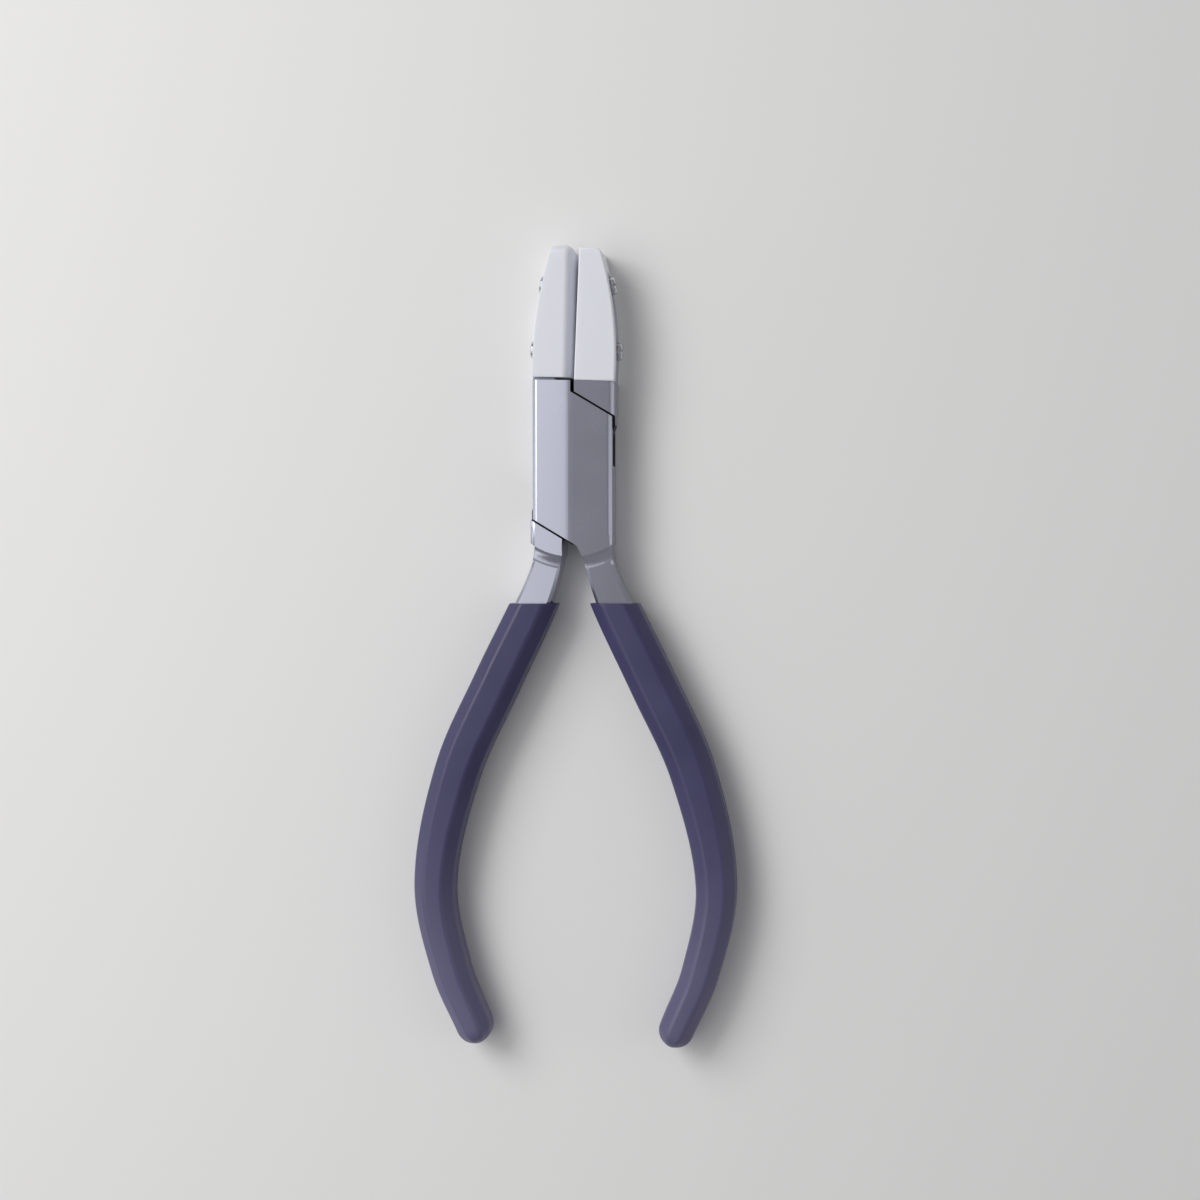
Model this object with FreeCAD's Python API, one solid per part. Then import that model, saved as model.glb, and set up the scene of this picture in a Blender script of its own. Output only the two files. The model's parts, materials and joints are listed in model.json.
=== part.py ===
import FreeCAD, Part
import math
import os

# Nylon-jaw pliers with a box joint, in millimetres and degrees.
# They lie flat: the pivot runs up Z through the origin, the jaws point along +Y, and the
# undersides of the joint, the shoes and the grips lie in the plane z = 0.
# The box lever has the left jaw, the two cheeks and the right handle. The tongue lever
# has the right jaw, the tongue between the cheeks and the left handle.

Vector = FreeCAD.Vector
ORIGIN = Vector(0, 0, 0)
UP = Vector(0, 0, 1)

# --- Pose ---------------------------------------------------------------------------
rest_opening = 1.0  # the tongue lever is turned this far from closed
full_opening = 28.0  # and can turn this much further, to its stop
jaw_lean = 1.4  # the closing plane leans this far from the joint's sides
nip_offset = -0.28  # the closing plane passes the pivot at this distance

# --- Box joint ----------------------------------------------------------------------
joint_width = 14.4
joint_thickness = 9.2
parting_distance = 11.6  # from the pivot to the line where cheek and root part
parting_angle = 59.0  # direction of that line's normal
parting_gap = 0.35
shoulder_step = 0.4  # the tongue lever's roots stand this far outside the cheeks
root_top = 15.7  # the jaw roots end here and the tangs go on
box_throat_inset = 0.35  # from the closing plane to the box lever's jaw root
tongue_throat_inset = 0.05
box_crotch_inset = 0.8  # from the middle line to each lever's corner between the handles
tongue_crotch_inset = 1.9
edge_round = 0.9  # on the long outer edges of the cheeks and the roots

tongue_thickness = 3.6
tongue_face_clearance = 0.05  # above and below the tongue
tongue_half_width = 4.5
tongue_angle = 70.0  # direction of the tongue at rest
stop_clearance = 0.05  # between the tongue and the webs at either end of its swing
rivet_radius = 2.3
rivet_head_radius = 3.1
rivet_head_depth = 0.8
rivet_clearance = 0.04

# --- Jaws ---------------------------------------------------------------------------
tang_thickness = 5.5
tang_top = 35.4
tang_base_width = 3.9
tang_top_width = 2.5
tang_clearance = 0.05
jaw_base_width = 7.33  # from the closing plane to a jaw's outer side, at the root
jaw_middle_width = 6.78  # the same at the height below
jaw_middle = 27.0
shoe_thickness = 9.2
nip_clearance = 0.02  # each shoe stops this far from the closing plane
tip_height = 1.9  # the outer side turns into the tip this far below it

round_shoe_gap = 0.5  # between the jaw root and the shoe
round_shoe_tip = 40.4
round_tip_width = 4.65  # from the closing plane to where the tip starts
round_crown = 1.3  # how far the half-round face bulges
round_edge = 1.1  # on the long edges of the half-round face, and where the dome starts
round_tip_dome = 1.2  # how far the tip falls away towards its front and back edges
# Points of the tip's outline, as shares of its width from the closing plane and of the
# tip height below its top: on the outer arc, at the top, on the inner arc and at its end.
round_tip_points = [(0.84, 0.27), (0.56, 0.0), (0.22, 0.3), (0.0, 1.05)]

flat_shoe_gap = 0.05
flat_shoe_tip = 39.5
flat_tip_width = 4.45
flat_tip_corner = 1.0
flat_edge_round = 0.3

# --- Jaw screws ---------------------------------------------------------------------
screw_heights = {"lower": 21.4, "upper": 33.2}
screw_radius = 0.8
screw_length = 4.6
screw_head_radius = 1.6
screw_head_height = 1.05
screw_head_round = 0.4
screw_slot_width = 0.45
screw_slot_depth = 0.5
screw_hole_clearance = 0.1
screw_seat_depth = 0.12
screw_seat_clearance = 0.15

# --- Handles ------------------------------------------------------------------------
# The middle line of the right handle's steel, from inside the joint to its end, each
# point with half the steel's width there.
handle_line = [
    (4.3, -12.0, 2.5),
    (5.1, -18.5, 2.6),
    (7.35, -24.5, 2.9),
    (14.3, -39.0, 3.1),
    (21.5, -55.0, 3.05),
    (25.75, -75.5, 2.7),
    (22.9, -91.3, 2.5),
    (18.6, -101.6, 2.3),
]
handle_stations = 20  # the outline is worked out at this many steps along the line
handle_thickness = 7.0
handle_bevel = 0.5
cove_centre = (0.1, -3.2)  # the levers' thick parts end on a circle about this point
cove_circle = 12.8
cove_start = 50.0  # the hollow curve from the thick part to the neck starts this steep
grip_thickness = 9.2
grip_wall = 1.1
grip_top = -24.5
grip_bevel = 2.1

# --- Sizes that follow --------------------------------------------------------------
middle = joint_thickness / 2
half_joint = joint_width / 2
tongue_lean = jaw_lean + rest_opening
far = 4 * joint_width  # wider than anything that is trimmed at the joint
flat = 1e-6  # edges within this of a plane lie in it


# --- Drawing helpers ----------------------------------------------------------------
def line(points):
    """Straight edges from point to point."""
    places = [Vector(x, y, 0) for x, y in points]
    return [Part.makeLine(a, b) for a, b in zip(places, places[1:])]


def arc(start, through, end):
    places = [Vector(x, y, 0) for x, y in (start, through, end)]
    return [Part.Arc(*places).toShape()]


def plate(edges, thickness):
    """A flat piece with this outline, centred on the tool's middle plane."""
    face = Part.Face(Part.Wire(edges))
    face.translate(Vector(0, 0, middle - thickness / 2))
    return face.extrude(Vector(0, 0, thickness))


def rounded(shape, size, chosen):
    """The shape with the chosen edges of its top and bottom faces rounded."""
    top, bottom = shape.BoundBox.ZMax, shape.BoundBox.ZMin
    edges = [e for e in shape.Edges if chosen(e)
             and (e.BoundBox.ZMin > top - flat or e.BoundBox.ZMax < bottom + flat)]
    return shape.makeFillet(size, edges)


def is_along_y(edge):
    return isinstance(edge.Curve, Part.Line) and edge.BoundBox.XLength < flat


def is_on_a_side(edge):
    """Whether the edge runs along Y on one of the joint's outer sides."""
    return is_along_y(edge) and abs(edge.CenterOfMass.x) > half_joint - flat


def is_any(edge):
    return True


def band(thickness, reach, angle):
    """Space about the middle plane, out to a reach from the pivot to both sides at an angle."""
    corner = Vector(-reach, -far, middle - thickness / 2)
    return Part.makeBox(2 * reach, 2 * far, thickness, corner).rotate(ORIGIN, UP, angle)


def beyond(distance, angle):
    """All of the joint's space that is further than this from the pivot, at an angle."""
    block = Part.makeBox(far, 2 * far, joint_thickness, Vector(distance, -far, 0))
    return block.rotate(ORIGIN, UP, angle)


def upright(radius, low, high):
    """A round bar on the Z axis."""
    return Part.makeCylinder(radius, high - low, Vector(0, 0, low))


def mirrored(shape):
    return shape.mirror(ORIGIN, Vector(1, 0, 0))


def mirrored_point(point):
    return (-point[0], point[1])


def leant(shape, lean):
    """A jaw piece, drawn with the closing plane on x = 0, leant into its place."""
    return shape.translated(Vector(nip_offset, 0, 0)).rotate(ORIGIN, UP, -lean)


def throat_x(inset, lean):
    """Where a line beside the closing plane, inset to its right, reaches the root's top."""
    tilt = math.radians(lean)
    return (nip_offset + inset) / math.cos(tilt) + root_top * math.tan(tilt)


def root_top_point(x, lean):
    """The point with this x on a root's top, which is square to its leaning jaw."""
    tilt = math.radians(lean)
    return (x, (root_top - x * math.sin(tilt)) / math.cos(tilt))


def parting_point(x, distance):
    """The point with this x on the upper parting line, at this distance from the pivot."""
    normal = math.radians(parting_angle)
    return (x, (distance - math.cos(normal) * x) / math.sin(normal))


def lower_parting_point(x, distance):
    """The same on the lower parting line, which is the upper one turned half round."""
    return (x, -parting_point(-x, distance)[1])


def cove_point(x):
    """The point with this x on the circle where the thick parts end."""
    x0, y0 = cove_centre
    return (x, y0 - math.sqrt(cove_circle**2 - (x - x0)**2))


# --- Handles and grips --------------------------------------------------------------
def handle_outline(extra, z):
    """The right handle's outline, as wide as the steel plus extra on each side."""
    spline = Part.BSplineCurve()
    spline.interpolate([Vector(*place) for place in handle_line])
    inner, outer = [], []
    for station in range(handle_stations + 1):
        place = spline.LastParameter * station / handle_stations
        x, y, half_width = spline.value(place)
        along = spline.tangent(place)[0]
        across = Vector(-along.y, along.x, 0).normalize() * (half_width + extra)
        inner.append(Vector(x, y, z) - across)
        outer.append(Vector(x, y, z) + across)
    end = Vector(x, y, z) + Vector(across.y, -across.x, 0)
    inner_side, outer_side = Part.BSplineCurve(), Part.BSplineCurve()
    inner_side.interpolate(inner)
    outer_side.interpolate(outer[::-1])
    tip = Part.Arc(inner[-1], end, outer[-1])
    top = Part.LineSegment(outer[0], inner[0])
    return Part.Wire([piece.toShape() for piece in (inner_side, tip, outer_side, top)])


def bevelled_bar(extra, thickness, bevel):
    """The right handle's shape with bevelled long edges."""
    low, high = middle - thickness / 2, middle + thickness / 2
    levels = [(low, -bevel), (low + bevel, 0), (high - bevel, 0), (high, -bevel)]
    return Part.makeLoft([handle_outline(extra + inward, z) for z, inward in levels], True, True)


def coved_disc():
    """A disc whose rim runs down through a hollow curve to the handle's thickness."""
    step = (joint_thickness - handle_thickness) / 2
    start = math.radians(cove_start)
    radius = step / (1 - math.cos(start))
    foot_x = cove_circle + radius * math.sin(start)
    rim = Vector(cove_circle, 0, 0)
    foot = Vector(foot_x, 0, step)
    depth = step - radius * (1 - math.cos(start / 2))
    through = Vector(foot_x - radius * math.sin(start / 2), 0, depth)
    height = Vector(0, 0, joint_thickness)
    upper_foot = foot + Vector(0, 0, handle_thickness)
    upper_through = Vector(through.x, 0, joint_thickness - depth)
    profile = Part.Wire([
        Part.makeLine(ORIGIN, rim),
        Part.Arc(rim, through, foot).toShape(),
        Part.makeLine(foot, upper_foot),
        Part.Arc(upper_foot, upper_through, rim + height).toShape(),
        Part.makeLine(rim + height, height),
        Part.makeLine(height, ORIGIN),
    ])
    return Part.Face(profile).revolve(ORIGIN, UP, 360).translate(Vector(*cove_centre, 0))


def handle():
    """The right handle's steel: as thick as the joint beside it, then coved down to the neck."""
    thick_part = Part.Face(handle_outline(0, 0)).extrude(Vector(0, 0, joint_thickness))
    return thick_part.common(coved_disc()).fuse(bevelled_bar(0, handle_thickness, handle_bevel))


def grip():
    """The right handle's dipped sleeve, cut square at its top and hollow for the steel."""
    above = Part.makeBox(2 * far, far, far, Vector(-far, grip_top, -far / 2))
    return bevelled_bar(grip_wall, grip_thickness, grip_bevel).cut(above).cut(handle())


# --- Jaws, drawn as right jaws with the closing plane on x = 0 ------------------------
def jaw_side(tip_width, tip):
    """The arc that a jaw's outer side follows, from the root to where the tip starts."""
    root = Vector(jaw_base_width, root_top, 0)
    halfway = Vector(jaw_middle_width, jaw_middle, 0)
    return Part.Arc(root, halfway, Vector(tip_width, tip - tip_height, 0)).toShape().Curve


def side_point(side, height):
    """The point of a jaw's outer side at a height."""
    return (side.Center.x + math.sqrt(side.Radius**2 - (height - side.Center.y)**2), height)


def side_arc(side, low, high):
    return arc(side_point(side, low), side_point(side, (low + high) / 2), side_point(side, high))


def tang(side):
    """The steel inside a shoe, flush with the jaw's outer side. It starts inside the root."""
    bottom = root_top - parting_gap
    inner_top = side_point(side, tang_top)[0] - tang_top_width
    outline = side_arc(side, bottom, tang_top)
    outline += line([
        side_point(side, tang_top), (inner_top, tang_top),
        (jaw_base_width - tang_base_width, bottom), side_point(side, bottom),
    ])
    return plate(outline, tang_thickness)


def channel(side):
    """The space that a shoe leaves for its tang, open at the outer side and at the base."""
    clearance = tang_clearance
    outside = 2 * jaw_base_width
    inner_top = side_point(side, tang_top)[0] - tang_top_width - clearance
    inner_base = jaw_base_width - tang_base_width - clearance
    bottom = root_top - parting_gap
    outline = line([
        (inner_top, tang_top + clearance), (inner_base, bottom), (outside, bottom),
        (outside, tang_top + clearance), (inner_top, tang_top + clearance),
    ])
    return plate(outline, tang_thickness + 2 * clearance)


def on_screw_axes(shape, side):
    """A shape drawn down Z from the origin, placed to enter the jaw's side at each screw."""
    placed = {}
    for name, height in screw_heights.items():
        x, y = side_point(side, height)
        tilt = math.degrees(math.atan2(y - side.Center.y, x - side.Center.x))
        copy = shape.rotated(ORIGIN, Vector(0, 1, 0), 90)
        copy.rotate(ORIGIN, UP, tilt)
        placed[name] = copy.translate(Vector(x, y, middle))
    return placed


def screw():
    """A slotted pan-head screw. The jaw's side is at the origin and its head seats below."""
    seat = -screw_seat_depth
    top = seat + screw_head_height
    head = upright(screw_head_radius, seat, top)
    head = head.makeFillet(screw_head_round, [e for e in head.Edges if e.BoundBox.ZMin > top - flat])
    corner = Vector(-far / 2, -screw_slot_width / 2, top - screw_slot_depth)
    slot = Part.makeBox(far, screw_slot_width, screw_head_height, corner)
    return head.cut(slot).fuse(upright(screw_radius, seat - screw_length, seat)).removeSplitter()


def drilled_tang(side):
    """A tang with a clearance hole and a flat seat for each screw."""
    hole = upright(screw_radius + screw_hole_clearance, -jaw_base_width, 0)
    seat = upright(screw_head_radius + screw_seat_clearance, -screw_seat_depth, screw_head_height)
    return tang(side).cut(list(on_screw_axes(hole.fuse(seat), side).values()))


def fitted_shoe(body, side):
    """A shoe's solid with its channel and the blind holes that its screws thread into."""
    hole = upright(screw_radius, -screw_seat_depth - screw_length, 0)
    return body.cut([channel(side), *on_screw_axes(hole, side).values()])


def round_shoe():
    """The half-round shoe: its outline, its cross-section and its side view in one solid."""
    side = jaw_side(round_tip_width, round_shoe_tip)
    low, tip = root_top + round_shoe_gap, round_shoe_tip
    shoulder = side_point(side, tip - tip_height)
    outer, crest, inner, end = [
        (nip_clearance + across * (shoulder[0] - nip_clearance), tip - down * tip_height)
        for across, down in round_tip_points]
    outline = side_arc(side, low, shoulder[1])
    outline += arc(shoulder, outer, crest) + arc(crest, inner, end)
    outline += line([end, (nip_clearance, low), side_point(side, low)])

    bottom, top = middle - shoe_thickness / 2, middle + shoe_thickness / 2
    edge = nip_clearance + round_crown
    section = Part.Wire([
        Part.Arc(Vector(edge, 0, bottom), Vector(nip_clearance, 0, middle),
                 Vector(edge, 0, top)).toShape(),
        *Part.makePolygon([Vector(edge, 0, top), Vector(far, 0, top), Vector(far, 0, bottom),
                           Vector(edge, 0, bottom)]).Edges,
    ])
    brow = tip - round_tip_dome
    side_view = Part.Wire([
        Part.Arc(Vector(0, brow, bottom), Vector(0, tip, middle), Vector(0, brow, top)).toShape(),
        *Part.makePolygon([Vector(0, brow, top), Vector(0, 0, top), Vector(0, 0, bottom),
                           Vector(0, brow, bottom)]).Edges,
    ])
    body = plate(outline, shoe_thickness)
    body = body.common(Part.Face(section).extrude(Vector(0, far, 0)))
    body = rounded(body, round_edge, is_along_y)
    body = body.common(Part.Face(side_view).extrude(Vector(far, 0, 0)))
    body = rounded(body, round_edge, lambda edge: edge.BoundBox.YMin > brow - flat)
    return fitted_shoe(body, side)


def flat_shoe():
    side = jaw_side(flat_tip_width, flat_shoe_tip)
    low, tip = root_top + flat_shoe_gap, flat_shoe_tip
    outer_top = side_point(side, tip)
    outline = side_arc(side, low, tip)
    outline += line([outer_top, (nip_clearance, tip), (nip_clearance, low), side_point(side, low)])
    body = plate(outline, shoe_thickness)
    corner = Vector(*outer_top, middle)
    body = body.makeFillet(flat_tip_corner, [e for e in body.Edges if e.CenterOfMass.isEqual(corner, flat)])
    return fitted_shoe(rounded(body, flat_edge_round, is_any), side)


# --- Rivet and levers ---------------------------------------------------------------
def rivet():
    """The pivot rivet: its ends are spread into the cheeks and ground flush."""
    shank = upright(rivet_radius, 0, joint_thickness)
    lower = Part.makeCone(rivet_head_radius, rivet_radius, rivet_head_depth)
    upper_place = Vector(0, 0, joint_thickness - rivet_head_depth)
    upper = Part.makeCone(rivet_radius, rivet_head_radius, rivet_head_depth, upper_place)
    return shank.fuse([lower, upper]).removeSplitter()


def web():
    """What joins the cheeks at the upper left: all that the swinging tongue leaves free."""
    reach = tongue_half_width + stop_clearance
    closing_side = beyond(reach, tongue_angle + 90 + rest_opening)
    opening_side = beyond(reach, tongue_angle + 90 - full_opening)
    return closing_side.common(opening_side)


def root_end(side_x):
    """Where a right handle's thick part ends: points of the cove's circle, from its side in."""
    inner_x = handle_line[0][0] - handle_line[0][2]
    return [cove_point(side_x), cove_point((side_x + inner_x) / 2), cove_point(inner_x)]


def box_lever():
    """Left jaw, both cheeks with the slot between them, and the right handle."""
    throat = throat_x(-box_throat_inset, jaw_lean)
    end = root_end(half_joint)
    left_corner = lower_parting_point(-half_joint, parting_distance)
    outline = line([
        left_corner, root_top_point(-half_joint, jaw_lean), root_top_point(throat, jaw_lean),
        parting_point(throat, parting_distance), parting_point(half_joint, parting_distance), end[0],
    ])
    outline += arc(*end)
    outline += line([end[-1], lower_parting_point(box_crotch_inset, parting_distance), left_corner])
    cheeks = rounded(plate(outline, joint_thickness), edge_round, is_on_a_side)
    slot = band(tongue_thickness + 2 * tongue_face_clearance, far, 0)
    slot = slot.cut([web(), web().rotate(ORIGIN, UP, 180)])
    jaw = leant(mirrored(drilled_tang(jaw_side(round_tip_width, round_shoe_tip))), jaw_lean)
    return cheeks.cut(slot).fuse([handle(), jaw]).cut(rivet()).removeSplitter()


def tongue_lever():
    """Right jaw, the tongue through the box, and the left handle."""
    near = parting_distance + parting_gap
    side = half_joint + shoulder_step
    throat = throat_x(tongue_throat_inset, tongue_lean)
    jaw_root = plate(line([
        parting_point(throat, near), root_top_point(throat, tongue_lean),
        root_top_point(side, tongue_lean), parting_point(side, near), parting_point(throat, near),
    ]), joint_thickness)
    end = [mirrored_point(point) for point in root_end(side)]
    crotch = lower_parting_point(-tongue_crotch_inset, near)
    handle_root = plate(
        arc(*end) + line([end[-1], crotch, lower_parting_point(-side, near), end[0]]),
        joint_thickness)
    tongue = band(tongue_thickness, tongue_half_width, tongue_angle - 90)
    tongue = tongue.common(band(tongue_thickness, near, parting_angle))
    tongue = tongue.common(band(tongue_thickness, side, 0))
    jaw = leant(drilled_tang(jaw_side(flat_tip_width, flat_shoe_tip)), tongue_lean)
    roots = [rounded(root, edge_round, is_on_a_side) for root in (jaw_root, handle_root)]
    left_handle = mirrored(handle()).cut(band(joint_thickness, near, parting_angle))
    body = tongue.fuse([*roots, left_handle, jaw])
    return body.cut(upright(rivet_radius + rivet_clearance, 0, joint_thickness)).removeSplitter()


# --- The assembly -------------------------------------------------------------------
nodes = {
    "box_lever": box_lever(),
    "tongue_lever": tongue_lever(),
    "joint_rivet": rivet(),
    "round_shoe": leant(mirrored(round_shoe()), jaw_lean),
    "flat_shoe": leant(flat_shoe(), tongue_lean),
    "box_grip": grip(),
    "tongue_grip": mirrored(grip()),
}
round_side = jaw_side(round_tip_width, round_shoe_tip)
flat_side = jaw_side(flat_tip_width, flat_shoe_tip)
for place, shape in on_screw_axes(screw(), round_side).items():
    nodes[f"round_jaw_{place}_screw"] = leant(mirrored(shape), jaw_lean)
for place, shape in on_screw_axes(screw(), flat_side).items():
    nodes[f"flat_jaw_{place}_screw"] = leant(shape, tongue_lean)

os.makedirs("parts", exist_ok=True)
for name, shape in nodes.items():
    shape.exportStep(f"parts/{name}.step")
    print(f"{name}: {len(shape.Solids)} solid, {shape.Volume:.1f} mm3, valid {shape.isValid()}")
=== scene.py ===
# %% [markdown]
# # Nylon-jaw pliers
#
# These are jeweller's pliers for shaping wire without marking it. Two steel levers cross in a
# box joint, each steel jaw carries a white nylon shoe, and the handles are dipped in vinyl.
# The engineering model is loaded first as a fixed frame. Every piece made here stands in for
# one part of that frame, in the same place, with the finish of the real thing.

import json
import math

import bmesh
import bpy
from mathutils import Euler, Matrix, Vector
from mathutils.geometry import interpolate_bezier


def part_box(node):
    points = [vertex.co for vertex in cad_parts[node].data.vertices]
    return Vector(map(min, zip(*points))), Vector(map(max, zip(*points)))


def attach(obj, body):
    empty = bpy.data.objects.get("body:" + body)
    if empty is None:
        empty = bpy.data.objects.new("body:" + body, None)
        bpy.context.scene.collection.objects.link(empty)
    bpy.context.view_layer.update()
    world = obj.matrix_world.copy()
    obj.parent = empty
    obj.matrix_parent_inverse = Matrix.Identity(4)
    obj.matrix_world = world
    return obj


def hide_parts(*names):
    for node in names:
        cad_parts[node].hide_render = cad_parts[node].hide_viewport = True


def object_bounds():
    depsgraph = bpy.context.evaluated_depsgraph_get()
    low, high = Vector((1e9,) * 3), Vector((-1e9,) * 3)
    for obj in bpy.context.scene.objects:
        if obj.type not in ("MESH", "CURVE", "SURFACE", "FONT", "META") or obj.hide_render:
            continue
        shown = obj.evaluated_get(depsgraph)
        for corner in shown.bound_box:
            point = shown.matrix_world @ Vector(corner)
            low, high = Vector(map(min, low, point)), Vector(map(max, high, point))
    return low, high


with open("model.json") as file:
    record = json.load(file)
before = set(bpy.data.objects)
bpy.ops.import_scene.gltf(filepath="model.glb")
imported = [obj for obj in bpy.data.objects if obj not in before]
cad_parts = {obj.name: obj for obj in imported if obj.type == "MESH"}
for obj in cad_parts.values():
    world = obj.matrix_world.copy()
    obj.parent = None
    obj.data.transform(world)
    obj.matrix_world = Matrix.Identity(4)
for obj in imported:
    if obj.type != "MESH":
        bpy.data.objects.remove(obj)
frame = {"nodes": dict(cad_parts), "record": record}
cad_low, cad_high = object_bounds()
print("nodes:", sorted(frame["nodes"]))

# %% [markdown]
# ## Units and the tool's own lines
#
# Blender works in metres, and a small tool is easier to think about in millimetres, so one
# factor turns one into the other. The tool lies flat: the pivot runs up Z through the origin,
# the jaws point along +Y, and every part is centred on one middle plane, which is read from
# the frame instead of being typed in again.

# %% Units and the middle plane
MM = 0.001

rivet_low, rivet_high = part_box("joint_rivet")
middle = (rivet_low.z + rivet_high.z) / 2
half_thickness = (rivet_high.z - rivet_low.z) / 2
print("size in mm:", [round(side / MM, 1) for side in cad_high - cad_low])
print(f"middle plane at {middle / MM:.1f} mm")

# %% [markdown]
# ## Camera
#
# The camera looks down on the tool from about 400 mm, a little from the right. It could be
# placed by hand and nudged, but then nobody could say what it is looking at. Here it gets a
# point to look at and three small tilts, and its place follows from those.

# %% Camera
camera_distance = 400 * MM
camera_tilt = Euler((math.radians(-0.89), math.radians(6.07), math.radians(-0.09)), "XYZ")
aim = Vector((4.6 * MM, -23.9 * MM, middle))

lens = bpy.data.cameras.new("camera")
lens.lens = 66
lens.sensor_width = 36
camera = bpy.data.objects.new("camera", lens)
bpy.context.collection.objects.link(camera)
camera.rotation_euler = camera_tilt
camera.location = aim + camera_tilt.to_matrix() @ Vector((0, 0, camera_distance))
bpy.context.scene.camera = camera
print("camera at", [round(place / MM) for place in camera.location], "mm")

# %% [markdown]
# ## Colours, nodes and finishes
#
# A shader works with linear light, but colours are easier to read as the hex codes of a paint
# chart, so one function turns the second into the first. Another adds a node together with
# its settings and links, and the rest do what every finish needs: a noise of a real size, a
# roughness that wanders with it, and a shallow bump. Most of a noise lies between 0.3 and 0.7,
# so that stretch is what the roughness follows.


# %% Colour and node helpers
noise_low = 0.3
noise_high = 0.7


def linear(hex_colour):
    """An sRGB hex colour as the linear values that a shader works with."""
    shares = [int(hex_colour[i:i + 2], 16) / 255 for i in (0, 2, 4)]
    return [s / 12.92 if s <= 0.04045 else ((s + 0.055) / 1.055) ** 2.4 for s in shares] + [1.0]


def add_node(tree, kind, settings=None, inputs=None):
    """A new node with its settings, and its inputs set or linked."""
    node = tree.nodes.new(kind)
    for name, value in (settings or {}).items():
        setattr(node, name, value)
    for name, value in (inputs or {}).items():
        if isinstance(value, bpy.types.NodeSocket):
            tree.links.new(value, node.inputs[name])
        else:
            node.inputs[name].default_value = value
    return node


def new_finish(name, **values):
    """A material, its node tree, its shader with these values, and its object coordinates."""
    material = bpy.data.materials.new(name)
    material.use_nodes = True
    tree = material.node_tree
    shader = tree.nodes["Principled BSDF"]
    for key, value in values.items():
        shader.inputs[key.replace("_", " ")].default_value = value
    place = add_node(tree, "ShaderNodeTexCoord").outputs["Object"]
    return material, tree, shader, place


def noise(tree, place, size, detail):
    """A noise whose features are about this size, in metres."""
    inputs = {"Vector": place, "Scale": 1 / size, "Detail": detail}
    return add_node(tree, "ShaderNodeTexNoise", {}, inputs).outputs["Fac"]


def vary_roughness(tree, shader, pattern, smoothest, dullest):
    """Lets the roughness wander between two values with a pattern."""
    spread = add_node(tree, "ShaderNodeMapRange", {}, {
        "Value": pattern, "From Min": noise_low, "From Max": noise_high,
        "To Min": smoothest, "To Max": dullest})
    tree.links.new(spread.outputs[0], shader.inputs["Roughness"])


def add_bump(tree, shader, pattern, strength, depth):
    """Shades the surface as if the pattern stood up by this depth, in metres."""
    bump = add_node(tree, "ShaderNodeBump", {}, {
        "Strength": strength, "Distance": depth, "Height": pattern})
    tree.links.new(bump.outputs[0], shader.inputs["Normal"])


print("navy vinyl in linear light:", [round(v, 3) for v in linear("3E3C62")[:3]])

# %% [markdown]
# ## Satin-ground steel
#
# The levers are forged carbon steel, ground on a belt and left satin. Grinding leaves fine
# lines along the tool, so the metal is smoother along them than across. Real belt lines are
# about 0.05 mm apart, too fine to see at this distance, so they are drawn at 0.35 mm. Years
# in the hand or a film of oil also leave broad, faint clouds that are a little duller. Both
# go into the roughness, and the lines also into a very shallow bump.

# %% Satin-ground steel
ground_steel, tree, shader, place = new_finish(
    "satin_ground_steel", Base_Color=linear("C3C5D3"), Metallic=1.0)
line_spacing = 0.35 * MM
line_length = 9 * MM
cloud_size = 7 * MM
cloud_share = 0.65

lines_at = add_node(tree, "ShaderNodeMapping", {"vector_type": "POINT"}, {
    "Vector": place, "Scale": (1 / line_spacing, 1 / line_length, 1 / line_spacing)})
lines = noise(tree, lines_at.outputs[0], 1.0, detail=2.0)
clouds = noise(tree, place, cloud_size, detail=3.0)
both = add_node(tree, "ShaderNodeMix", {"data_type": "FLOAT"}, {
    "Factor": cloud_share, "A": lines, "B": clouds})
vary_roughness(tree, shader, both.outputs[0], smoothest=0.24, dullest=0.28)
add_bump(tree, shader, lines, strength=0.02, depth=0.01 * MM)
print("steel:", len(tree.nodes), "nodes")

# %% [markdown]
# ## Painted shade inside the joint
#
# Inside the joint the steel is as it left the milling cutter, dull. Its dark colour is painted
# shade: it makes the fine gaps between the levers read as black lines, as the shade in them
# would. Its roughness varies in blotches of about 2 mm.

# %% Painted shade inside the joint
# Its dark base colour is painted shade for the gaps between the levers.
gap_shade_steel, tree, shader, place = new_finish(
    "painted_shade_milled_steel", Base_Color=linear("3A393D"), Metallic=1.0)
blotch_size = 2 * MM

blotches = noise(tree, place, blotch_size, detail=2.0)
vary_roughness(tree, shader, blotches, smoothest=0.45, dullest=0.65)
print("stained steel:", len(tree.nodes), "nodes")

# %% [markdown]
# ## Moulded nylon
#
# The shoes are moulded in natural nylon, a milky white plastic. Light goes a millimetre or so
# into it before it comes back, which softens every shadow on it, so the shader gets some
# subsurface scattering. The mould leaves a fine, even grain of about 0.3 mm, and the way the
# melt flowed leaves the gloss a little uneven over about 6 mm.

# %% Moulded nylon
nylon, tree, shader, place = new_finish(
    "moulded_natural_nylon", Base_Color=linear("EEF0F7"), Roughness=0.42, IOR=1.53,
    Subsurface_Weight=0.35, Subsurface_Scale=1.2 * MM, Subsurface_Radius=(1.0, 0.95, 0.9))
grain_size = 0.3 * MM
flow_size = 6 * MM

grain = noise(tree, place, grain_size, detail=2.0)
add_bump(tree, shader, grain, strength=0.2, depth=0.02 * MM)
flow = noise(tree, place, flow_size, detail=2.0)
vary_roughness(tree, shader, flow, smoothest=0.36, dullest=0.48)
print("nylon:", len(tree.nodes), "nodes")
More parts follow.
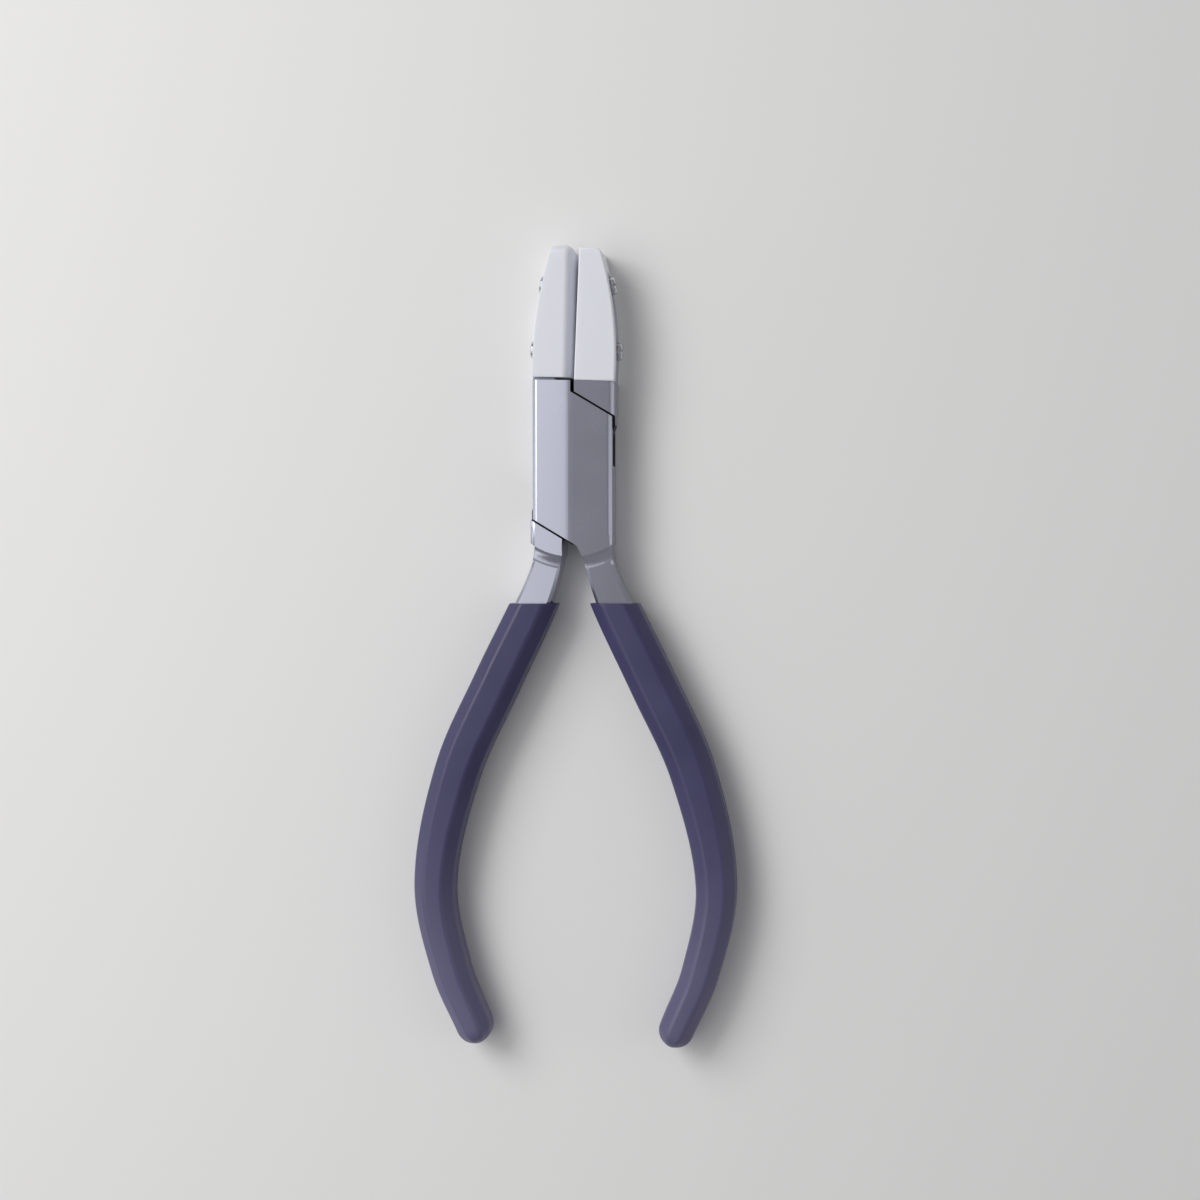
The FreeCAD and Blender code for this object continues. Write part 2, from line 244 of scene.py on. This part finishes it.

# %% [markdown]
# ## Dipped vinyl
#
# The grips are liquid PVC: the hot handle is dipped and the skin that sticks to it is cured.
# The skin sets with a gentle orange peel, dimples about 1.5 mm across, and handling dulls it
# in soft patches. It is an opaque navy with a violet cast, like thick rubber with a slight shine.
# Towards the ends of the handles it turns a paler, greyer violet.

# %% Dipped vinyl
vinyl, tree, shader, place = new_finish(
    "dipped_navy_vinyl", Base_Color=linear("3E3C62"), Roughness=0.4, IOR=1.53)
peel_size = 1.5 * MM
patch_size = 11 * MM
# The colour turns paler and greyer between these two places along the handle.
paling_start = -55 * MM
paling_end = -100 * MM

peel = noise(tree, place, peel_size, detail=1.0)
add_bump(tree, shader, peel, strength=0.35, depth=0.05 * MM)
patches = noise(tree, place, patch_size, detail=3.0)
vary_roughness(tree, shader, patches, smoothest=0.34, dullest=0.5)
bloom = add_node(tree, "ShaderNodeMix", {"data_type": "RGBA"}, {
    "Factor": patches, "A": linear("37355A"), "B": linear("45436B")})
along = add_node(tree, "ShaderNodeSeparateXYZ", {}, {"Vector": place})
towards_ends = add_node(tree, "ShaderNodeMapRange", {"interpolation_type": "SMOOTHSTEP"}, {
    "Value": along.outputs["Y"], "From Min": paling_start, "From Max": paling_end})
paled = add_node(tree, "ShaderNodeMix", {"data_type": "RGBA"}, {
    "Factor": towards_ends.outputs[0], "A": bloom.outputs[2], "B": linear("615D7E")})
tree.links.new(paled.outputs[2], shader.inputs["Base Color"])
print("vinyl:", len(tree.nodes), "nodes")

# %% [markdown]
# ## Plated screw steel
#
# The jaw screws are turned steel with a thin bright plating. Turning leaves no lines that can
# be seen at this size, but the plating is never quite even, so the shine varies a little over
# half a millimetre.

# %% Plated screw steel
plated_steel, tree, shader, place = new_finish(
    "plated_screw_steel", Base_Color=linear("D5D6DA"), Metallic=1.0)
plating_size = 0.5 * MM

plating = noise(tree, place, plating_size, detail=2.0)
vary_roughness(tree, shader, plating, smoothest=0.16, dullest=0.28)
print("plating:", len(tree.nodes), "nodes")

# %% [markdown]
# ## From a frame part to a finished piece
#
# A drawn edge is a perfect corner, and real ones never are: a small bevel catches the light
# and says how the part was made. Each piece starts as a copy of its frame part. The copy is
# loose triangles, so its corners are merged and the triangles of each flat face dissolved
# into one face first. Then its convex edges are bevelled, and normals weighted by face area
# keep the big faces looking flat.
#
# One fault is known. The bevels are clamped so that they never cross themselves, and the clamp
# leaves those on the steel, the shoes and the screws narrower than their values say. The likely
# reason is that a frame part has a few very short edges, and the clamp fits the whole bevel to
# the place with the least room.


# %% Copying and softening
merge_distance = 0.001 * MM
flat_turn = math.radians(0.2)
sharp_turn = math.radians(40)

bodies = frame["record"]["behaviour"]["bodies"]
part_bodies = {node: body for body, nodes in bodies.items() for node in nodes}


def merged_copy(node):
    """A bmesh of a frame part, with its corners merged and its flat faces whole."""
    shape = bmesh.new()
    shape.from_mesh(frame["nodes"][node].data)
    bmesh.ops.remove_doubles(shape, verts=shape.verts, dist=merge_distance)
    bmesh.ops.dissolve_limit(
        shape, angle_limit=flat_turn, verts=shape.verts, edges=shape.edges)
    return shape


def convex_edges(shape, least, most=180):
    """The outward edges that turn by an angle in this range, in degrees."""
    low, high = math.radians(least), math.radians(most)
    outward = [e for e in shape.edges if e.is_manifold and e.is_convex]
    return [e for e in outward if low < e.calc_face_angle() < high]


def soften(shape, edges, width, segments=2):
    """Bevels these edges by this width, or by less where the clamp finds no room."""
    bmesh.ops.bevel(
        shape, geom=edges, offset=width, offset_type="OFFSET", segments=segments, profile=0.5,
        affect="EDGES", material=-1, clamp_overlap=True)


def finish_piece(shape, name, node, *materials):
    """Turns the bmesh into a piece that stands in for a frame part and moves with its body."""
    mesh = bpy.data.meshes.new(name)
    shape.to_mesh(mesh)
    shape.free()
    mesh.shade_smooth()
    mesh.set_sharp_from_angle(angle=sharp_turn)
    for material in materials:
        mesh.materials.append(material)
    piece = bpy.data.objects.new(name, mesh)
    bpy.context.collection.objects.link(piece)
    weighted = piece.modifiers.new("weighted_normals", "WEIGHTED_NORMAL")
    weighted.keep_sharp = True
    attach(piece, part_bodies[node])
    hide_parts(node)
    print(f"{name}: {len(mesh.polygons)} faces")
    return piece


# %% [markdown]
# ## The steel levers and the rivet
#
# The cheeks look flat, but the grinder leaves each as two planes that lean away from a soft
# ridge down the middle. It is only about three degrees, yet it splits the light: one half
# of the joint shines and the other stays dark. A bump could fake it, but a shape this large
# belongs in the mesh. So the flat faces are cut along the ridge, and their points are moved
# towards the middle plane, further with distance from the ridge. The necks lean the same way,
# each about its own middle. The rivet is ground with the cheeks, so it gets the same treatment,
# and its edge, which can't be seen, gets no bevel. The faces inside the joint get a dark steel
# whose colour is painted shade for the gaps between the levers.
#
# The known fault shows most here. The corner break has almost no width on either lever, which
# leaves doubled edges in their meshes, and the cuts along the ridge add a few more.

# %% Ground faces
ridge_x = -0.7 * MM
ridge_lean = math.radians(3.3)
ridge_round = 0.35 * MM
neck_half_thickness = 3.5 * MM
neck_middle = 7.0 * MM
neck_side_height = 2.5 * MM
blend_height = 0.8 * MM
grind_cuts = [-1.6, -0.8, -0.4, 0, 0.4, 0.8, 1.6]


def grind(shape):
    """Leans the outer faces of the joint away from the ridge, above and below."""
    for cut in grind_cuts:
        geometry = shape.verts[:] + shape.edges[:] + shape.faces[:]
        bmesh.ops.bisect_plane(
            shape, geom=geometry, plane_co=(ridge_x + cut * MM, 0, 0), plane_no=(1, 0, 0))
    for vertex in shape.verts:
        height = vertex.co.z - middle
        in_face = min(max((abs(height) - neck_side_height) / blend_height, 0), 1)
        in_joint = min(max((abs(height) - neck_half_thickness) / blend_height, 0), 1)
        aside = math.hypot(vertex.co.x - ridge_x, ridge_round) - ridge_round
        aside -= (1 - in_joint) * neck_middle
        vertex.co.z -= math.copysign(in_face * aside * math.tan(ridge_lean), height)


# %% Inside of the joint
parting_heading = math.radians(59)
parting_normal = Vector((math.cos(parting_heading), math.sin(parting_heading), 0))
outer_side = 7.0 * MM
throat_half_width = 3.0 * MM
slot_reach = 10 * MM
slot_half_thickness = 2.0 * MM
squarely = 0.98  # the least cosine of a face that looks along a direction
level = 0.99  # the least upward share of a ground face's normal


def paint_gap_shade(shape):
    """Gives the second material, painted shade, to the faces in the joint's gaps, throat and slot.
    """
    shape.normal_update()
    for face in shape.faces:
        centre = face.calc_center_median()
        parting = abs(face.normal.dot(parting_normal)) > squarely
        in_throat = centre.y > 0 and abs(centre.x) < throat_half_width
        throat = abs(face.normal.x) > squarely and in_throat
        slot = abs(centre.z - middle) < slot_half_thickness and centre.xy.length < slot_reach
        if abs(centre.x) < outer_side and (parting or throat or slot):
            # These faces get the dark steel: painted shade for the joint's gaps, throat and slot.
            face.material_index = 1


def keep_flat(piece):
    """Shades the ground faces as planes, and leaves the rest smooth."""
    for face in piece.data.polygons:
        face.use_smooth = abs(face.normal.z) < level


# %% Levers and rivet
corner_break = 0.05 * MM
neck_softening = 0.3 * MM
rivet_reach = rivet_high.x + 2 * corner_break
neck_top = -14.5 * MM
crease_turns = (35, 55)
corner_turn = 60

for node in ("box_lever", "tongue_lever"):
    lever = merged_copy(node)
    creases = [e for e in convex_edges(lever, *crease_turns)
               if max(v.co.y for v in e.verts) < neck_top]
    soften(lever, creases, neck_softening, 3)
    corners = [e for e in convex_edges(lever, corner_turn)
               if all(v.co.xy.length > rivet_reach for v in e.verts)]
    soften(lever, corners, corner_break)
    # The second material paints the shade inside the joint.
    paint_gap_shade(lever)
    grind(lever)
    keep_flat(finish_piece(lever, f"{node}_steel", node, ground_steel, gap_shade_steel))

rivet = merged_copy("joint_rivet")
grind(rivet)
keep_flat(finish_piece(rivet, "joint_rivet_steel", "joint_rivet", ground_steel))

# %% [markdown]
# ## The nylon shoes
#
# Both shoes come out of a mould, and a fifth of a millimetre is a usual radius for its edges.
# The clamp leaves less than that. Their shapes are already right in the frame: one half-round
# and domed at its tip, the other flat and square. They only need their edges.

# %% Shoes
mould_radius = 0.2 * MM
moulded_turn = 40

for node in ("round_shoe", "flat_shoe"):
    shoe = merged_copy(node)
    soften(shoe, convex_edges(shoe, moulded_turn), mould_radius, 3)
    finish_piece(shoe, f"{node}_nylon", node, nylon)

# %% [markdown]
# ## The jaw screws
#
# Four slotted pan-head screws hold the shoes. The frame has their real heads and slots. Their
# rims are rounded and the slot's edges are barely broken, as a slitting saw leaves them.

# %% Screws
slot_break = 0.04 * MM
turned_turn = 50

for node in sorted(name for name in frame["nodes"] if name.endswith("_screw")):
    screw = merged_copy(node)
    soften(screw, convex_edges(screw, turned_turn), slot_break)
    finish_piece(screw, f"{node}_plated", node, plated_steel)

# %% [markdown]
# ## The dipped grips
#
# A grip is the shape of the handle inside it plus a skin of vinyl: an octagon with soft
# corners at the top, ever rounder towards the bottom, where the liquid ran and the hand has
# rubbed, and a blunt round end. It could be carved from the frame part, but its corners
# change along its length, so it is made as a straight bar and then bent. A cube gets its long
# edges bevelled twice, is divided along its length, and each of its rings is moved to its
# place on the handle's line. A smaller bar, bent the same way, is the hole for the steel.

# %% The handle's line
handle_line = [Vector(point) * MM for point in (
    (4.3, -12.0, 2.5), (5.1, -18.5, 2.6), (7.35, -24.5, 2.9), (14.3, -39.0, 3.1),
    (21.5, -55.0, 3.05), (25.75, -75.5, 2.7), (22.9, -91.3, 2.5), (18.6, -101.6, 2.3))]
# Each point is x, y and half the steel's width there. The right handle is drawn.


def smooth_line(points, steps=24):
    """Many points along a smooth curve through these, as Bezier spans with level handles."""
    headings = []
    for before, after in zip(points[:1] + points[:-1], points[1:] + points[-1:]):
        headings.append((after - before).normalized())
    dense = []
    for start, end, leaving, arriving in zip(points, points[1:], headings, headings[1:]):
        reach = (end - start).length / 3
        span = interpolate_bezier(
            start, start + leaving * reach, end - arriving * reach, end, steps + 1)
        dense += span[:-1]
    return dense + [points[-1]]


grip_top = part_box("box_grip")[1].y
line_points = smooth_line(handle_line)
distances = [0.0]
for one, two in zip(line_points, line_points[1:]):
    distances.append(distances[-1] + (two.xy - one.xy).length)
top_step = next(i for i, point in enumerate(line_points) if point.y < grip_top)
above, below = line_points[top_step - 1], line_points[top_step]
top_share = (above.y - grip_top) / (above.y - below.y)
top_distance = distances[top_step - 1] + top_share * (distances[top_step] - distances[top_step - 1])
grip_length = distances[-1] - top_distance
print(f"the grip's line is {grip_length / MM:.1f} mm long")


def on_line(distance):
    """The point, heading and half width this far below the grip's top, straight past the end."""
    at = distance + top_distance
    step = max(i for i, d in enumerate(distances[:-1]) if d <= max(at, 0))
    start, end = line_points[step], line_points[step + 1]
    share = (at - distances[step]) / (distances[step + 1] - distances[step])
    heading = (end.xy - start.xy).normalized()
    place = start.lerp(end, min(share, 1))
    past = max(at - distances[-1], 0)
    return place.xy + heading * past, heading, place.z


# %% [markdown]
# The bar's rings are evenly spaced along the handle until the round end, where they crowd
# together as they shrink. The first rings lean, because the sleeve is cut square to the tool
# and not square to the handle.

# %% Bent bars
bar_rings = 110
end_share = 0.12  # of the rings are in the round end
lean_length = 12 * MM
end_bluntness = 3.0
rounding_onset = 1.6
bar_corner_turn = math.radians(20)
end_facing = 0.9
ring_merge_distance = 0.005 * MM


def long_edges(bar):
    """The edges that run along the bar, which is 1 long."""
    return [e for e in bar.edges if abs(e.verts[0].co.y - e.verts[1].co.y) > 0.5]


def straight_bar(half_width, thickness, bevel, softness):
    """A bar along Y from 0 to 1, with bevelled and softened long edges and many rings."""
    bar = bmesh.new()
    bmesh.ops.create_cube(bar, size=1.0)
    bmesh.ops.scale(bar, vec=(2 * half_width, 1, thickness), verts=bar.verts)
    bmesh.ops.translate(bar, vec=(0, 0.5, 0), verts=bar.verts)
    for offset, segments in ((bevel, 1), (softness, 3)):
        corners = [e for e in long_edges(bar) if e.calc_face_angle() > bar_corner_turn]
        bmesh.ops.bevel(
            bar, geom=corners, offset=offset, offset_type="OFFSET", segments=segments,
            profile=0.5, affect="EDGES", material=-1)
    bmesh.ops.subdivide_edges(bar, edges=long_edges(bar), cuts=bar_rings)
    ends = [f for f in bar.faces if abs(f.normal.y) > end_facing]
    bmesh.ops.delete(bar, geom=ends, context="FACES_ONLY")
    return bar


def bend(bar, bar_half_width, thickness, extra, rounding):
    """Moves each ring of a straight bar to its place along the handle."""
    cut_heading = on_line(0)[1]
    for vertex in bar.verts:
        across, share, height = vertex.co
        quarter = max(share - (1 - end_share), 0) / end_share * math.pi / 2
        half_width = on_line(min(share / (1 - end_share), 1) * grip_length)[2] + extra
        distance = min(share / (1 - end_share), 1) * grip_length + half_width * math.sin(quarter)

        # The vertex keeps its distance from the bar's side while the bar's width changes.
        across = math.copysign(half_width - bar_half_width + abs(across), across)
        radius = math.hypot(across / half_width, height / (thickness / 2))
        oval = rounding * min(max(share, 0), 1) ** rounding_onset
        across *= 1 + (1 / radius - 1) * oval
        height *= 1 + (1 / radius - 1) * oval
        across *= math.cos(quarter)
        height *= (1 - math.sin(quarter) ** end_bluntness) ** (1 / end_bluntness)

        slant = across * cut_heading.x / cut_heading.y
        leaning = max(1 - distance / lean_length, 0)
        point, heading, _ = on_line(distance - slant * leaning)
        side = Vector((-heading.y, heading.x))
        vertex.co = (*(point + side * across), middle + height)
    bmesh.ops.remove_doubles(bar, verts=bar.verts, dist=ring_merge_distance)


# %% Grips
steel_thickness = 7.0 * MM
steel_bevel = 0.5 * MM
grip_thickness = 2 * half_thickness
grip_bevel = 2.1 * MM
grip_softness = 0.5 * MM
vinyl_wall = 1.1 * MM
grip_roundness = 0.95
hole_clearance = 0.03 * MM
hole_softness = 0.3 * MM
rim_radius = 0.25 * MM
rim_reach = 0.1 * MM
rim_turn = 60
drawn_half_width = 2.9 * MM


def dipped_grip(name, node, mirrored):
    """A vinyl sleeve: a bent bar, with a smaller one turned inside out for the hole."""
    skin_half_width = drawn_half_width + vinyl_wall
    skin = straight_bar(skin_half_width, grip_thickness, grip_bevel, grip_softness)
    bend(skin, skin_half_width, grip_thickness, vinyl_wall, grip_roundness)
    hole_half_width = drawn_half_width + hole_clearance
    hole_thickness = steel_thickness + 2 * hole_clearance
    hole = straight_bar(hole_half_width, hole_thickness, steel_bevel, hole_softness)
    bend(hole, hole_half_width, hole_thickness, hole_clearance, 0)
    bmesh.ops.reverse_faces(hole, faces=hole.faces)
    hole_mesh = bpy.data.meshes.new("hole")
    hole.to_mesh(hole_mesh)
    hole.free()
    skin.from_mesh(hole_mesh)
    bpy.data.meshes.remove(hole_mesh)
    rims = [e for e in skin.edges if e.is_boundary]
    bmesh.ops.bridge_loops(skin, edges=rims)
    bmesh.ops.recalc_face_normals(skin, faces=skin.faces)
    rim_corners = [e for e in convex_edges(skin, rim_turn)
                   if all(v.co.y > grip_top - rim_reach for v in e.verts)]
    soften(skin, rim_corners, rim_radius, 3)
    if mirrored:
        bmesh.ops.scale(skin, vec=(-1, 1, 1), verts=skin.verts)
        bmesh.ops.reverse_faces(skin, faces=skin.faces)
    finish_piece(skin, name, node, vinyl)


dipped_grip("box_grip_vinyl", "box_grip", mirrored=False)
dipped_grip("tongue_grip_vinyl", "tongue_grip", mirrored=True)

# %% [markdown]
# ## Floor and light
#
# The floor is a plain pale sheet. Satin steel shows what is around it, so the light is made
# of a few things that each have one job. A soft key at the upper left gives the shapes and the
# shadows. A dim sheet overhead, ending some way left of the tool, is what the bright half of
# the joint reflects. A low strip on either side draws a thin bright line on the rounded edges,
# and an even pale surround fills the rest. All of these are far larger than the tool, so their
# sizes and places are in metres.

# %% Floor
floor_size = 4.0

sheet = bmesh.new()
bmesh.ops.create_grid(sheet, x_segments=1, y_segments=1, size=floor_size / 2)
floor_mesh = bpy.data.meshes.new("floor")
sheet.to_mesh(floor_mesh)
sheet.free()
floor = bpy.data.objects.new("floor", floor_mesh)
floor.location.z = cad_low.z
bpy.context.collection.objects.link(floor)
paper = new_finish("pale_paper", Base_Color=linear("F4F3F1"), Roughness=0.9)[0]
floor_mesh.materials.append(paper)
print("floor at", round(cad_low.z / MM, 2), "mm")


# %% Lights
def light_panel(name, width, depth, radiance, place, target):
    """A rectangular area light of this brightness, facing the target."""
    lamp = bpy.data.lights.new(name, "AREA")
    lamp.shape = "RECTANGLE"
    lamp.size = width
    lamp.size_y = depth
    lamp.energy = radiance * math.pi * width * depth
    panel = bpy.data.objects.new(name, lamp)
    panel.location = place
    panel.rotation_euler = (Vector(target) - Vector(place)).to_track_quat("-Z", "Y").to_euler()
    bpy.context.collection.objects.link(panel)


sheet_x = -0.345

light_panel("key", width=0.5, depth=0.5, radiance=4.0, place=(-0.5, 0.35, 0.6), target=aim)
light_panel("overhead_sheet", width=0.5, depth=0.9, radiance=0.8,
            place=(sheet_x, 0.0, 0.5), target=(sheet_x, 0.0, 0.0))
light_panel("left_strip", width=0.3, depth=0.9, radiance=0.75,
            place=(-0.7, -0.05, 0.3), target=aim)
light_panel("right_strip", width=0.3, depth=0.9, radiance=0.45,
            place=(0.7, -0.05, 0.25), target=aim)

surround = bpy.data.worlds.new("studio")
surround.use_nodes = True
background = surround.node_tree.nodes["Background"]
background.inputs["Color"].default_value = linear("F2F3F7")
background.inputs["Strength"].default_value = 0.28
bpy.context.scene.world = surround
bpy.context.scene.view_settings.view_transform = "Standard"
